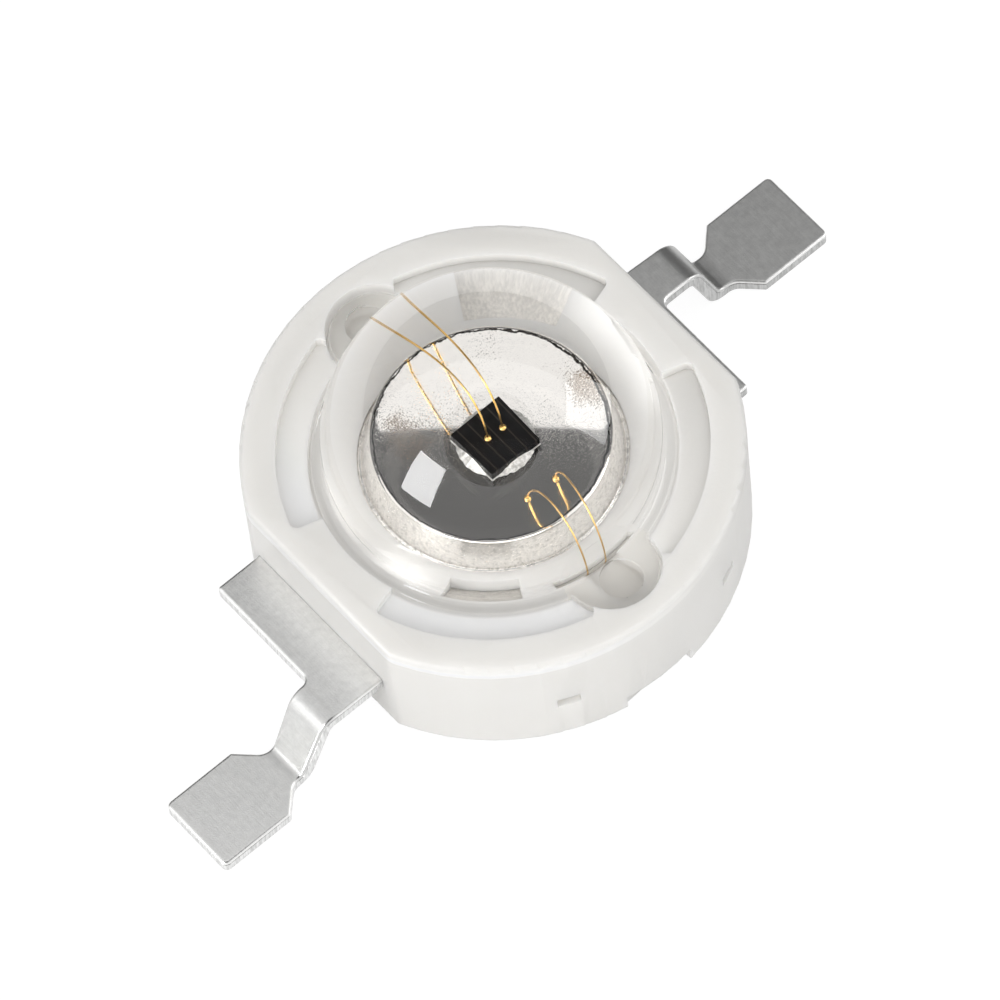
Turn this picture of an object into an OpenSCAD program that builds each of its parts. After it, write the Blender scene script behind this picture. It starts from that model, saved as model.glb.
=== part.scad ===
// High power LED emitter with a dome lens, two gull-bent leads and a copper slug.
// Millimetres. The origin is the centre of the slug's underside, on the board.
// +X runs along the leads and +Z points out of the dome.

/* [Housing] */
// Diameter of the moulded body
body_d = 8.0; // [7.8:0.05:8.6]
// Width across the two flats
flat_w = 7.24; // [7.1:0.02:7.5]
// Height of the moulded body
body_h = 2.43; // [2.3:0.01:2.8]
// Height of the body's underside above the board
base_gap = 0.18; // [0.1:0.01:0.3]
// Radius of the upright corners where a flat meets the round wall
corner_r = 0.45; // [0.1:0.05:0.6]
// Radius of the top and bottom rims
rim_r = 0.08; // [0.04:0.01:0.14]

/* [Lens pocket] */
// Depth of the lens seat below the top face
seat_depth = 0.48; // [0.42:0.01:0.6]
// Gap between the lens flange and the pocket wall
lens_gap = 0.05; // [0.02:0.01:0.1]
// Distance of each ear's centre from the axis
ear_y = 2.85; // [2.75:0.01:2.92]
// Radius of each lens ear
ear_r = 0.75; // [0.65:0.01:0.8]
// Outer radius of the arc recesses in the top face
recess_r = 3.43; // [3.3:0.01:3.5]
// Depth of the arc recesses
recess_depth = 0.20; // [0.1:0.01:0.3]
// Angle between the X axis and the end of each recess
recess_edge = 16.5; // [16:0.5:22]
// Angle between the Y axis and the end of each recess, inside the ear's pocket
recess_ear_edge = 12.5; // [11:0.5:13.5]
// Radius of the recesses' outer corners
recess_corner_r = 0.12; // [0.05:0.01:0.2]

/* [Wells] */
// Gap between the slug's pedestal and the moulding
moat_gap = 0.04; // [0.02:0.01:0.1]
// Thickness of the plastic over the lead fingers
finger_cover = 0.18; // [0.12:0.01:0.25]
// Outer radius of the bond wells and the windows
well_r = 2.30; // [2.1:0.01:2.34]
// Inner radius of the bond wells
bond_well_in = 1.90; // [1.7:0.01:2.0]
// Half angle of the bond well over each finger
bond_half = 18; // [16:1:24]
// Width of the channel from a bond well to the fill hole
channel_w = 0.62; // [0.5:0.02:0.7]
// Angle of the inspection window's middle, from the bond well
window_turn = 45.5; // [44:0.5:48]
// Half angle of the inspection window
window_half = 15; // [12:0.5:16]
// Width of the plastic ring between the slug's bore and a window
window_ring = 0.18; // [0.12:0.01:0.3]

/* [Side wall marks] */
// Angle between the Y axis and each tie-bar pocket
tie_angle = 24.5; // [22:0.5:26]
// Width of a tie-bar pocket
tie_w = 0.38; // [0.3:0.02:0.5]
// Height of a tie-bar pocket
tie_h = 0.22; // [0.15:0.01:0.25]
// Depth of a tie-bar pocket
tie_depth = 0.28; // [0.1:0.01:0.35]
// Width of the gate notch in the bottom rim
gate_w = 1.30; // [0.9:0.02:1.4]
// Offset of the gate notch along X
gate_x = -0.10; // [-0.2:0.01:0.2]
// Height of the gate notch
gate_h = 0.36; // [0.2:0.02:0.45]
// Depth of the gate notch
gate_depth = 0.22; // [0.1:0.02:0.3]

/* [Lens] */
// Radius of the dome
dome_r = 2.70; // [2.6:0.01:2.75]
// Height of the dome's centre above the top face
dome_lift = 0.20; // [0.1:0.01:0.4]
// Thickness of the flange
flange_t = 0.30; // [0.24:0.01:0.36]
// Width of the flange round the dome
flange_w = 0.18; // [0.15:0.01:0.25]
// Radius of the cove between the flange and the dome's neck
cove_r = 0.07; // [0.03:0.01:0.1]
// Wall thickness of the dome
dome_wall = 0.35; // [0.3:0.01:0.6]
// Distance of each fill hole from the axis
fill_y = 3.07; // [3.0:0.01:3.15]
// Radius of each fill hole
fill_r = 0.35; // [0.28:0.01:0.38]
// Depth of the gel's surface below the mouth of a fill hole
fill_dip = 0.04; // [0.01:0.01:0.08]

/* [Slug] */
// Radius of the slug's underside
foot_r = 2.75; // [2.6:0.05:2.9]
// Height of the slug's foot
foot_h = 0.75; // [0.6:0.01:0.85]
// Height at which the foot's locking flange starts
lock_z = 0.42; // [0.35:0.01:0.5]
// Radius that the locking flange adds to the foot
lock_out = 0.22; // [0.1:0.01:0.35]
// Radius of the pedestal
pedestal_r = 1.36; // [1.25:0.01:1.45]
// Height of the pedestal's top above the lens seat
pedestal_rise = 0.54; // [0.4:0.01:0.6]
// Chamfer of the slug's edges
slug_edge = 0.05; // [0.02:0.01:0.08]

/* [Leads] */
// Length over both lead tips
span = 14.5; // [14.2:0.05:15]
// Thickness of the lead strip
lead_t = 0.25; // [0.2:0.01:0.3]
// Height of the tabs' underside above the board
tab_z = 1.11; // [1.05:0.01:1.18]
// Radius of the bends along the middle of the strip
bend_r = 0.25; // [0.2:0.01:0.27]
// Width of a solder pad
pad_w = 1.46; // [1.2:0.02:1.6]
// Length of the straight part of a solder pad
pad_l = 1.34; // [1.2:0.01:1.45]
// Radius of a pad's outer corners
pad_corner_r = 0.10; // [0.05:0.01:0.2]
// Width of a neck at its tab
neck_root_w = 0.79; // [0.7:0.01:0.85]
// Width of a neck at its pad
neck_w = 0.70; // [0.6:0.01:0.8]
// Distance from the X axis to a neck's outer edge at its pad
neck_y = 1.383; // [1.3:0.005:1.45]
// Radius of the fillets at each end of a neck
neck_fillet = 0.14; // [0.05:0.01:0.2]

/* [Tabs] */
// Distance that the tab of lead A stands out of its flat
tab_out_a = 0.86; // [0.7:0.01:0.95]
// Distance from the X axis to the far end of tab A
tab_far_a = 1.577; // [1.4:0.005:1.6]
// Distance from the X axis to the outer edge of tab A and its neck
root_y_a = 1.43; // [1.38:0.01:1.5]
// Start of lead A's outer bend, from the Z axis
bend_in_a = 4.60; // [4.55:0.01:4.7]
// End of lead A's outer bend, from the Z axis
bend_out_a = 5.43; // [5.35:0.01:5.5]
// Distance that the tab of lead B stands out of its flat
tab_out_b = 0.455; // [0.35:0.005:0.6]
// Distance from the X axis to the far end of tab B
tab_far_b = 1.391; // [1.3:0.005:1.6]
// Distance from the X axis to the outer edge of tab B and its neck
root_y_b = 1.48; // [1.38:0.01:1.5]
// Start of lead B's outer bend, from the Z axis
bend_in_b = 4.62; // [4.6:0.01:4.8]
// End of lead B's outer bend, from the Z axis
bend_out_b = 5.36; // [5.3:0.01:5.5]

/* [Lead fingers] */
// Gap between a finger and the slug's pedestal
finger_gap = 0.17; // [0.14:0.01:0.2]
// Width of the curved finger
finger_w = 0.90; // [0.8:0.01:0.93]
// Angle that a finger runs on past its bond well
finger_past = 4; // [2:1:8]
// Width of the strip that carries the finger
strip_w = 1.10; // [0.9:0.05:1.3]
// Length of the inner step between tab and finger
step_run = 0.60; // [0.55:0.01:0.7]
// Distance of the inner step from the flat
step_in = 0.55; // [0.45:0.01:0.6]

/* [Chip] */
// Side of the chip
chip_w = 0.70; // [0.5:0.01:0.9]
// Thickness of the chip
chip_t = 0.12; // [0.08:0.01:0.18]
// Offset of the chip from the axis along X
chip_x = 0.05; // [-0.1:0.01:0.1]
// Thickness of the die attach under the chip
attach_t = 0.02; // [0.01:0.005:0.04]
// Radius of the squeezed-out die attach on the slug
attach_r = 0.50; // [0.46:0.01:0.55]
// Radius of the die attach where it has climbed the chip's sides
attach_top_r = 0.43; // [0.4:0.01:0.46]
// Height of the die attach
attach_h = 0.07; // [0.04:0.01:0.1]

/* [Bond wires] */
// Diameter of the gold wire
wire_d = 0.026; // [0.02:0.001:0.04]
// Radius of a ball bond
ball_r = 0.042; // [0.035:0.001:0.06]
// Height of a ball bond
ball_h = 0.032; // [0.02:0.001:0.05]
// Distance of the stitch bonds from the well's outer wall
bond_in = 0.08; // [0.06:0.01:0.2]

/* [Hidden] */
$fn = 96;
eps = 0.01;
big = 20;

body_r = body_d / 2;
flat_x = flat_w / 2;
body_top = base_gap + body_h;
seat_z = body_top - seat_depth;
flange_r = dome_r + flange_w;
pocket_r = flange_r + lens_gap;
flange_top = seat_z + flange_t;
dome_z = body_top + dome_lift;
cavity_r = dome_r - dome_wall;
moat_r = pedestal_r + moat_gap;
slug_top = seat_z + pedestal_rise;
finger_top = seat_z - finger_cover;
finger_in = pedestal_r + finger_gap;
finger_out = finger_in + finger_w;
window_in = moat_r + window_ring;
bond_r = min(cavity_r, well_r) - bond_in;
chip_top = slug_top + attach_t + chip_t;
step_out_x = flat_x - step_in;
step_in_x = step_out_x - step_run;
tip_x = span / 2;
shoulder_x = tip_x - pad_l;

// Bond wires: [x, y] of the ball bond, then the angle of the stitch bond round the axis
CHIP_BONDS = [[[chip_x - 0.08, 0.03], 86], [[chip_x + 0.13, 0.02], 76]];
SLUG_BONDS = [[[-0.16, -0.81], -95], [[0.25, -0.82], -87]];
// The two points that pull each loop up: [share of the wire's reach, height above the ball bond]
CHIP_LOOP = [[0.05, 1.08], [0.46, 0.88]];
SLUG_LOOP = [[0.14, 0.80], [0.86, 0.96]];
wire_sides = 8;
wire_rings = 18;

// Ring sector between two radii and two angles under 180 degrees apart
module sector(r_in, r_out, from, to) {
    reach = r_out / cos((to - from) / 4) + 1;
    middle = (from + to) / 2;
    intersection() {
        difference() {
            circle(r_out);
            circle(r_in);
        }
        polygon([[0, 0],
                 for (a = [from, (from + middle) / 2, middle, (middle + to) / 2, to])
                     reach * [cos(a), sin(a)]]);
    }
}

// Solid between two heights
module slab(z0, z1) {
    translate([0, 0, z0]) linear_extrude(z1 - z0) children();
}

// The same shape and its half turn about the Z axis
module both_ends() {
    for (a = [0, 180]) rotate(a) children();
}

// Square with all four corners rounded by true arcs
module round_square(size, r) {
    translate([r, 0]) square([size[0] - 2 * r, size[1]]);
    translate([0, r]) square([size[0], size[1] - 2 * r]);
    for (x = [r, size[0] - r], y = [r, size[1] - r]) translate([x, y]) circle(r);
}

// Plan of the body: a circle cut by two flats, with each upright corner rounded
module body_plan() {
    cx = flat_x - corner_r;
    cy = sqrt(pow(body_r - corner_r, 2) - cx * cx);
    touch = body_r / (body_r - corner_r) * [cx, cy];
    difference() {
        intersection() {
            circle(body_r);
            square([flat_w, body_d], center = true);
        }
        for (sx = [-1, 1], sy = [-1, 1]) quadrant(sx, sy)
            polygon([[cx, cy], [flat_x + eps, cy], [flat_x + eps, touch[1] + eps],
                     touch + [eps, eps], touch]);
    }
    for (sx = [-1, 1], sy = [-1, 1]) translate([sx * cx, sy * cy]) circle(corner_r);
}

// Mirrors a shape into one of the four quadrants
module quadrant(sx, sy) {
    mirror([sx < 0 ? 1 : 0, 0]) mirror([0, sy < 0 ? 1 : 0]) children();
}

// The body's outside, with rounded rims on the round wall and on the flats
module body_blank() {
    intersection() {
        slab(base_gap, body_top) body_plan();
        translate([0, 0, base_gap]) rotate_extrude() intersection() {
            translate([-body_r, 0]) round_square([body_d, body_h], rim_r);
            square([body_d, body_h]);
        }
        translate([-flat_x, big / 2, base_gap]) rotate([90, 0, 0])
            linear_extrude(big) round_square([flat_w, body_h], rim_r);
    }
}

// Plan of the lens flange or of its pocket
module eared_plan(r, lobe_r) {
    circle(r);
    for (sy = [-1, 1]) translate([0, sy * ear_y]) circle(lobe_r);
}

// Plan of the arc recess between the X axis and an ear, with rounded outer corners
module recess_plan() {
    inner = recess_r - recess_corner_r;
    turn = asin(recess_corner_r / inner);
    end = 90 - recess_ear_edge;
    sector(pocket_r - 0.1, inner, recess_edge, end);
    sector(inner - 0.1, recess_r, recess_edge + turn, end - turn);
    for (a = [recess_edge + turn, end - turn])
        rotate(a) translate([inner, 0]) circle(recess_corner_r);
}

// Plan of the moat, the bond wells with their channels, and the inspection windows
module wells_plan() {
    difference() {
        union() {
            circle(moat_r);
            both_ends() {
                sector(bond_well_in, well_r, 90 - bond_half, 90 + bond_half);
                translate([-channel_w / 2, bond_r])
                    square([channel_w, fill_y - bond_r]);
                translate([0, fill_y]) circle(fill_r);
                rotate(90 - window_turn)
                    sector(window_in, well_r, -window_half, window_half);
            }
        }
        circle(pedestal_r);
    }
}

// Side wall pockets left by the lead frame's tie bars
module tie_pockets() {
    for (side = [90, 270], turn = [-tie_angle, tie_angle])
        rotate(side + turn) translate([body_r - tie_depth, -tie_w / 2, tab_z + lead_t / 2 - tie_h / 2])
            cube([1, tie_w, tie_h]);
}

// Notch where the moulding gate was, in the bottom rim
module gate_notch() {
    translate([gate_x - gate_w / 2, -body_r - 1, base_gap - eps])
        cube([gate_w, 1 + gate_depth, gate_h + eps]);
}

module housing() {
    color("whitesmoke") difference() {
        body_blank();
        slab(seat_z, body_top + eps) eared_plan(pocket_r, ear_r + lens_gap);
        slab(body_top - recess_depth, body_top + eps)
            for (sx = [-1, 1], sy = [-1, 1]) quadrant(sx, sy) recess_plan();
        slab(finger_top, seat_z + eps) wells_plan();
        slug_blank();
        lead_a_blank();
        lead_b_blank();
        tie_pockets();
        gate_notch();
    }
}

// Turned profile of the slug
module slug_blank() {
    lock_r = foot_r + lock_out;
    rotate_extrude() polygon([
        [0, 0], [foot_r - slug_edge, 0], [foot_r, slug_edge], [foot_r, lock_z],
        [lock_r, lock_z], [lock_r, foot_h], [pedestal_r, foot_h],
        [pedestal_r, slug_top - slug_edge], [pedestal_r - slug_edge, slug_top], [0, slug_top]]);
}

module slug() {
    color("silver") slug_blank();
}

// Middle line of an S bend that starts and ends level, as [x, z, slope]
function s_bend(x0, z0, x1, z1, n = 8) =
    let (w = x1 - x0, h = abs(z1 - z0), up = sign(z1 - z0), d = norm([w, h - 2 * bend_r]),
         a = atan2(h - 2 * bend_r, w) + asin(2 * bend_r / d))
    concat(
        [for (i = [0 : n]) let (t = a * i / n)
            [x0 + bend_r * sin(t), z0 + up * bend_r * (1 - cos(t)), up * t]],
        [for (i = [0 : n]) let (t = a * (1 - i / n))
            [x1 - bend_r * sin(t), z1 - up * bend_r * (1 - cos(t)), up * t]]);

// Side view of a bent strip whose middle line runs from the finger to the pad
module strip_profile(bend_in, bend_out) {
    mid_finger = finger_top - lead_t / 2;
    mid_tab = tab_z + lead_t / 2;
    line = concat([[-tip_x, mid_finger, 0]],
                  s_bend(step_in_x, mid_finger, step_out_x, mid_tab),
                  s_bend(bend_in, mid_tab, bend_out, lead_t / 2),
                  [[tip_x, lead_t / 2, 0]]);
    last = len(line) - 1;
    half = lead_t / 2;
    polygon(concat([for (p = line) [p[0] - half * sin(p[2]), p[1] + half * cos(p[2])]],
                   [for (i = [last : -1 : 0]) let (p = line[i])
                       [p[0] + half * sin(p[2]), p[1] - half * cos(p[2])]]));
}

// Concave fillet in the corner at the origin, for walls along +X and +Y
module fillet(r) {
    difference() {
        translate([-eps, -eps]) square(r + eps);
        translate([r, r]) circle(r);
    }
}

// Plan of a lead that points along +X, seen from above
module lead_plan(tab_out, tab_far, root_y) {
    neck_in = neck_y - neck_w;
    mid_y = neck_y - neck_w / 2;
    root_in = root_y - neck_root_w;
    slant = (pad_w - neck_w) / 2;
    tab_x = flat_x + tab_out;
    // Finger round the slug and the strip that carries it
    sector(finger_in, finger_out, -asin(strip_w / 2 / finger_out), 90 + bond_half + finger_past);
    translate([finger_in + finger_w / 2, -strip_w / 2])
        square([step_out_x - finger_in, strip_w]);
    // Tab
    translate([step_out_x, -tab_far]) square([tab_x - step_out_x, tab_far + root_y]);
    translate([tab_x, root_in]) mirror([0, 1]) fillet(neck_fillet);
    // Neck, which narrows towards its pad
    polygon([[tab_x - eps, root_in], [tab_x, root_in], [shoulder_x - slant, neck_in],
             [shoulder_x - slant, neck_y], [tab_x, root_y], [tab_x - eps, root_y]]);
    // Pad with slanted shoulders
    translate([shoulder_x - slant, 0]) polygon([
        [-eps, neck_in], [0, neck_in], [slant, mid_y - pad_w / 2],
        [slant + pad_l / 2, mid_y - pad_w / 2], [slant + pad_l / 2, mid_y + pad_w / 2],
        [slant, mid_y + pad_w / 2], [0, neck_y], [-eps, neck_y]]);
    translate([tip_x - pad_l, mid_y - pad_w / 2]) difference() {
        round_square([pad_l, pad_w], pad_corner_r);
        square([pad_corner_r * 2, pad_w]);
    }
    // Curved roots of the shoulders
    root = neck_fillet * tan(45 / 2);
    for (side = [-1, 1]) translate([shoulder_x - slant, mid_y + side * neck_w / 2])
        mirror([0, side < 0 ? 1 : 0]) difference() {
            polygon([[-root * 2, -eps], [0, -eps], [root * 2, root * 2]]);
            translate([-root * 2, neck_fillet * 2]) circle(neck_fillet * 2);
        }
}

// A lead that points along +X: the bent strip cut to the lead's plan
module lead_blank(tab_out, tab_far, root_y, bend_in, bend_out) {
    intersection() {
        slab(-1, body_top) lead_plan(tab_out, tab_far, root_y);
        translate([0, big / 2, 0]) rotate([90, 0, 0])
            linear_extrude(big) strip_profile(bend_in, bend_out);
    }
}

module lead_a_blank() {
    rotate(180) lead_blank(tab_out_a, tab_far_a, root_y_a, bend_in_a, bend_out_a);
}

module lead_b_blank() {
    lead_blank(tab_out_b, tab_far_b, root_y_b, bend_in_b, bend_out_b);
}

module lead_a() {
    color("lightgray") lead_a_blank();
}

module lead_b() {
    color("darkgray") lead_b_blank();
}

// The hollow under the dome, down to the lens seat
module cavity() {
    translate([0, 0, seat_z]) cylinder(r = cavity_r, h = dome_z - seat_z);
    translate([0, 0, dome_z]) intersection() {
        sphere(cavity_r);
        cylinder(r = dome_r, h = dome_r);
    }
}

module fill_holes(z1) {
    for (sy = [-1, 1]) translate([0, sy * fill_y, finger_top])
        cylinder(r = fill_r, h = z1 - finger_top);
}

module lens() {
    color("azure", 0.35) difference() {
        union() {
            slab(seat_z, flange_top) eared_plan(flange_r, ear_r);
            rotate_extrude() difference() {
                union() {
                    translate([0, seat_z]) square([dome_r, dome_z - seat_z]);
                    translate([dome_r - eps, flange_top - eps]) square(cove_r + eps);
                    intersection() {
                        translate([0, dome_z]) circle(dome_r);
                        translate([0, dome_z]) square(dome_r);
                    }
                }
                translate([dome_r + cove_r, flange_top + cove_r]) circle(cove_r);
            }
        }
        cavity();
        translate([0, 0, seat_z - eps]) cylinder(r = cavity_r, h = 2 * eps);
        fill_holes(flange_top + eps);
    }
}

module chip_blank() {
    translate([chip_x - chip_w / 2, -chip_w / 2, slug_top + attach_t]) cube([chip_w, chip_w, chip_t]);
}

module chip() {
    color([0.05, 0.05, 0.06]) chip_blank();
}

// Round pad of die attach that the square chip was pressed into, so that it stands up along its sides
module attach_blank() {
    difference() {
        translate([chip_x, 0, slug_top]) cylinder(r1 = attach_r, r2 = attach_top_r, h = attach_h);
        chip_blank();
    }
}

module die_attach() {
    color("silver") attach_blank();
}

// Point on a smooth curve through four control points
function bezier(p, t) =
    let (s = 1 - t)
    s * s * s * p[0] + 3 * s * s * t * p[1] + 3 * s * t * t * p[2] + t * t * t * p[3];

// Tube with a polygonal section along a curve in an upright plane
module wire_tube(p) {
    flat = [p[3][0] - p[0][0], p[3][1] - p[0][1], 0];
    side = cross([0, 0, 1], flat / norm(flat));
    path = [for (i = [0 : wire_rings]) bezier(p, i / wire_rings)];
    points = [for (i = [0 : wire_rings]) let (
                  q = path[i],
                  along = path[min(i + 1, wire_rings)] - path[max(i - 1, 0)],
                  up = cross(side, along / norm(along)))
              for (k = [0 : wire_sides - 1]) let (a = 360 * k / wire_sides)
                  q + wire_d / 2 * (cos(a) * side + sin(a) * up)];
    walls = [for (i = [0 : wire_rings - 1], k = [0 : wire_sides - 1]) let (
                 a = i * wire_sides + k, b = i * wire_sides + (k + 1) % wire_sides)
             each [[a, b, b + wire_sides], [a, b + wire_sides, a + wire_sides]]];
    start = [for (k = [wire_sides - 1 : -1 : 0]) k];
    end = [for (k = [0 : wire_sides - 1]) wire_rings * wire_sides + k];
    polyhedron(points, concat([start], walls, [end]));
}

// Wire with a ball bond at its start and a stitch bond at its end
module bond_wire(bond, z0, loop) {
    a = concat(bond[0], z0);
    b = [bond_r * cos(bond[1]), bond_r * sin(bond[1]), finger_top];
    reach = [b[0] - a[0], b[1] - a[1], 0];
    translate(a) cylinder(r = ball_r, h = ball_h);
    wire_tube([a + [0, 0, ball_h / 2],
               a + loop[0][0] * reach + [0, 0, loop[0][1]],
               a + loop[1][0] * reach + [0, 0, loop[1][1]],
               b + [0, 0, wire_d / 2]]);
    translate(b) cylinder(r = ball_r, h = wire_d);
}

module chip_wire(i) {
    bond_wire(CHIP_BONDS[i], chip_top, CHIP_LOOP);
}

module slug_wire(i) {
    bond_wire(SLUG_BONDS[i], slug_top, SLUG_LOOP);
}

module chip_wire_1() {
    color("gold") chip_wire(0);
}

module chip_wire_2() {
    color("gold") chip_wire(1);
}

module slug_wire_1() {
    color("gold") slug_wire(0);
}

module slug_wire_2() {
    color("gold") slug_wire(1);
}

// Silicone gel in the cavity, the wells and the fill holes
module encapsulant() {
    color("white", 0.2) difference() {
        union() {
            cavity();
            slab(finger_top, seat_z) wells_plan();
            fill_holes(flange_top - fill_dip);
        }
        slug_blank();
        attach_blank();
        chip_blank();
        for (i = [0, 1]) {
            chip_wire(i);
            slug_wire(i);
        }
    }
}

housing();
slug();
lead_a();
lead_b();
lens();
encapsulant();
chip();
die_attach();
chip_wire_1();
chip_wire_2();
slug_wire_1();
slug_wire_2();
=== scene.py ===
# %% [markdown]
# # High power LED
# A white moulded body holds a silvered copper slug and two bent leads, and a clear dome lens sits in its
# pocket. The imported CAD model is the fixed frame. Every finished piece below is worked out from the same few
# sizes, so that it lies exactly where the solid lies, and gets the soft edges and the finish that the real
# piece has.

# %% Load the frame
import math

import bmesh
import bpy
import numpy as np
from mathutils import Matrix, Vector
from mathutils.geometry import delaunay_2d_cdt


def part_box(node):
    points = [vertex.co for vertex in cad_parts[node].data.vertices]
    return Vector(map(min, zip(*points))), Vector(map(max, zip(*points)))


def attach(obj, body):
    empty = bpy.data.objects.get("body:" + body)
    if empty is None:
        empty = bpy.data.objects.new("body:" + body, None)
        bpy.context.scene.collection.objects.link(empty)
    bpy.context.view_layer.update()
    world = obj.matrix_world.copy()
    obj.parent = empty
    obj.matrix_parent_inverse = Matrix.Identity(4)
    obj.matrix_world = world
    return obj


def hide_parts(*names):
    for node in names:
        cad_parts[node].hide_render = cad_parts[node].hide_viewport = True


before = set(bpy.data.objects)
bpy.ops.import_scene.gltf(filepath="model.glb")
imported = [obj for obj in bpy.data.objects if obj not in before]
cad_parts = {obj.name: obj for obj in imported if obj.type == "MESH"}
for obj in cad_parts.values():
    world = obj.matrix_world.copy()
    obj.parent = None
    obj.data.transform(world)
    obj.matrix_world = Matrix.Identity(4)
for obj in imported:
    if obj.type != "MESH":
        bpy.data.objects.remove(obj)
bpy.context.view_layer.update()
print("nodes:", sorted(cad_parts))

# %% [markdown]
# ## Sizes
# All sizes are millimetres and Blender works in metres here, so one factor turns one into the other. The
# heights come from the frame where a node's box gives them, and the rest are the driving sizes of the part.

# %% Sizes in millimetres
MM = 0.001


def low(node):
    """Lowest corner of a CAD node, in millimetres."""
    return np.array(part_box(node)[0]) / MM


def high(node):
    """Highest corner of a CAD node, in millimetres."""
    return np.array(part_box(node)[1]) / MM


def add(name, data):
    """A new object with this data, put into the scene."""
    made = bpy.data.objects.new(name, data)
    bpy.context.scene.collection.objects.link(made)
    return made


flat_x, body_r, body_top = high("housing")
tip_x, _, finger_top = high("lead_b")
seat_z, dome_top = low("lens")[2], high("lens")[2]
slug_top, chip_top = high("slug")[2], high("chip")[2]

dome_r, cavity_r = 2.70, 2.35
dome_z = dome_top - dome_r
flange_r, flange_top = 2.88, 2.43
cove_r = 0.07
pocket_r = 2.93
ear_y, ear_r = 2.85, 0.75
fill_y, fill_r = 3.07, 0.35
pedestal_r = 1.36
foot_r, foot_h = 2.75, 0.75
lock_z, lock_out = 0.42, 0.22
print(f"body top {body_top:.2f}, seat {seat_z:.2f}, dome centre {dome_z:.2f}, slug top {slug_top:.2f}")

# %% [markdown]
# ## Camera
# The photograph looks down on the part at 62 degrees, from beside the wide lead. A long lens on a 36 mm
# sensor keeps the two ends of the part at nearly the same scale.

# %% Camera
view_azimuth = math.radians(-34.586)
view_elevation = math.radians(61.914)
view_roll = math.radians(-7.119)
view_distance = 159.459
view_shift = (0.011, 0.453)
frame_lift = -0.2

back = Vector((math.sin(view_azimuth) * math.cos(view_elevation),
               -math.cos(view_azimuth) * math.cos(view_elevation),
               math.sin(view_elevation)))
right = Vector((math.cos(view_azimuth), math.sin(view_azimuth), 0))
up = back.cross(right)
place = back * view_distance + right * view_shift[0] + up * view_shift[1] + Vector((0, 0, frame_lift))
across = right * math.cos(view_roll) + up * math.sin(view_roll)
upward = up * math.cos(view_roll) - right * math.sin(view_roll)

camera = add("camera", bpy.data.cameras.new("camera"))
camera.data.sensor_width = 36
camera.data.lens = 359.81
camera.data.clip_start = 10 * MM
camera.data.clip_end = 5
camera.matrix_world = Matrix.Translation(place * MM) @ Matrix((across, upward, back)).transposed().to_4x4()
bpy.context.scene.camera = camera
bpy.context.scene.view_settings.view_transform = "Standard"
print("camera at", [round(v, 1) for v in place])

# %% [markdown]
# ## Shader maths
# A finish is a few sums of patterns. Wrapping a node's output in a small class lets those sums be written as
# Python expressions, and each expression adds its Math nodes.

# %% Sockets and node trees
def operator(operation, swapped=False):
    """A method of Socket that adds one Math node."""
    def method(self, other):
        first, second = (other, self) if swapped else (self, other)
        return self.tree.math(operation, first, second)
    return method


class Socket:
    """An output socket of a node. Sums, products and powers of it add Math nodes."""
    __add__ = __radd__ = operator("ADD")
    __sub__ = operator("SUBTRACT")
    __rsub__ = operator("SUBTRACT", swapped=True)
    __mul__ = __rmul__ = operator("MULTIPLY")
    __truediv__ = operator("DIVIDE")
    __pow__ = operator("POWER")

    def __init__(self, tree, socket):
        self.tree = tree
        self.socket = socket

    def smooth(self, start, end):
        """0 below start, 1 above end, and a smooth step between them."""
        return self.tree.node("MapRange", {"Value": self, "From Min": start, "From Max": end},
                              interpolation_type="SMOOTHSTEP")

    def band(self, start, full, still, end):
        """1 between full and still, 0 below start and above end."""
        return self.smooth(start, full) * (1 - self.smooth(still, end))


class Tree:
    """A node tree. node() adds a node, from its kind, the values or links of its inputs and its settings."""

    def __init__(self, owner):
        owner.use_nodes = True
        self.tree = owner.node_tree
        self.tree.nodes.clear()

    def node(self, kind, inputs=None, out=0, **settings):
        node = self.tree.nodes.new("ShaderNode" + kind)
        for key, value in settings.items():
            setattr(node, key, value)
        for key, value in (inputs or {}).items():
            if isinstance(value, Socket):
                self.tree.links.new(value.socket, node.inputs[key])
            else:
                node.inputs[key].default_value = value
        return Socket(self, node.outputs[out]) if len(node.outputs) else node

    def math(self, operation, first, second):
        return self.node("Math", {0: first, 1: second}, operation=operation)

    def light_path(self):
        """What kind of ray meets the surface: the outputs of a Light Path node, by name."""
        return {out.name: Socket(self, out) for out in self.tree.nodes.new("ShaderNodeLightPath").outputs}

    def place(self, scale=(1, 1, 1)):
        """Object coordinates in millimetres, times scale."""
        return self.node("Mapping", {"Vector": self.node("TexCoord", out="Object"),
                                     "Scale": [s / MM for s in scale]})

    def split(self, vector):
        """The three parts of a vector, as sockets."""
        parts = self.node("SeparateXYZ", {0: vector})
        return [Socket(self, out) for out in parts.socket.node.outputs]

    def axes(self):
        """Object coordinates in millimetres, as sockets: x, y, z and the distance from the axis."""
        x, y, z = self.split(self.place())
        return x, y, z, away(x, y)

    def noise(self, scale, detail=3, stretch=(1, 1, 1), rough=0.5):
        """Fractal noise with so many lumps to the millimetre."""
        return self.node("TexNoise", {"Vector": self.place(stretch), "Scale": scale, "Detail": detail,
                                      "Roughness": rough})

    def mix(self, share, first, second):
        """The colour first where share is 0 and second where it is 1."""
        return self.node("Mix", {"Factor": share, 6: first, 7: second}, out=2, data_type="RGBA")

    def bump(self, height, depth):
        """A normal from a height between 0 and 1 that stands for depth millimetres."""
        return self.node("Bump", {"Height": height, "Distance": depth * MM})


def away(x, y):
    """Distance from the origin of a plane."""
    return (x * x + y * y) ** 0.5


def shaded(name, shader):
    """A material with the shader that shader(tree) makes."""
    material = bpy.data.materials.new(name)
    tree = Tree(material)
    tree.node("OutputMaterial", {"Surface": shader(tree)})
    print("material:", name)
    return material


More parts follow.
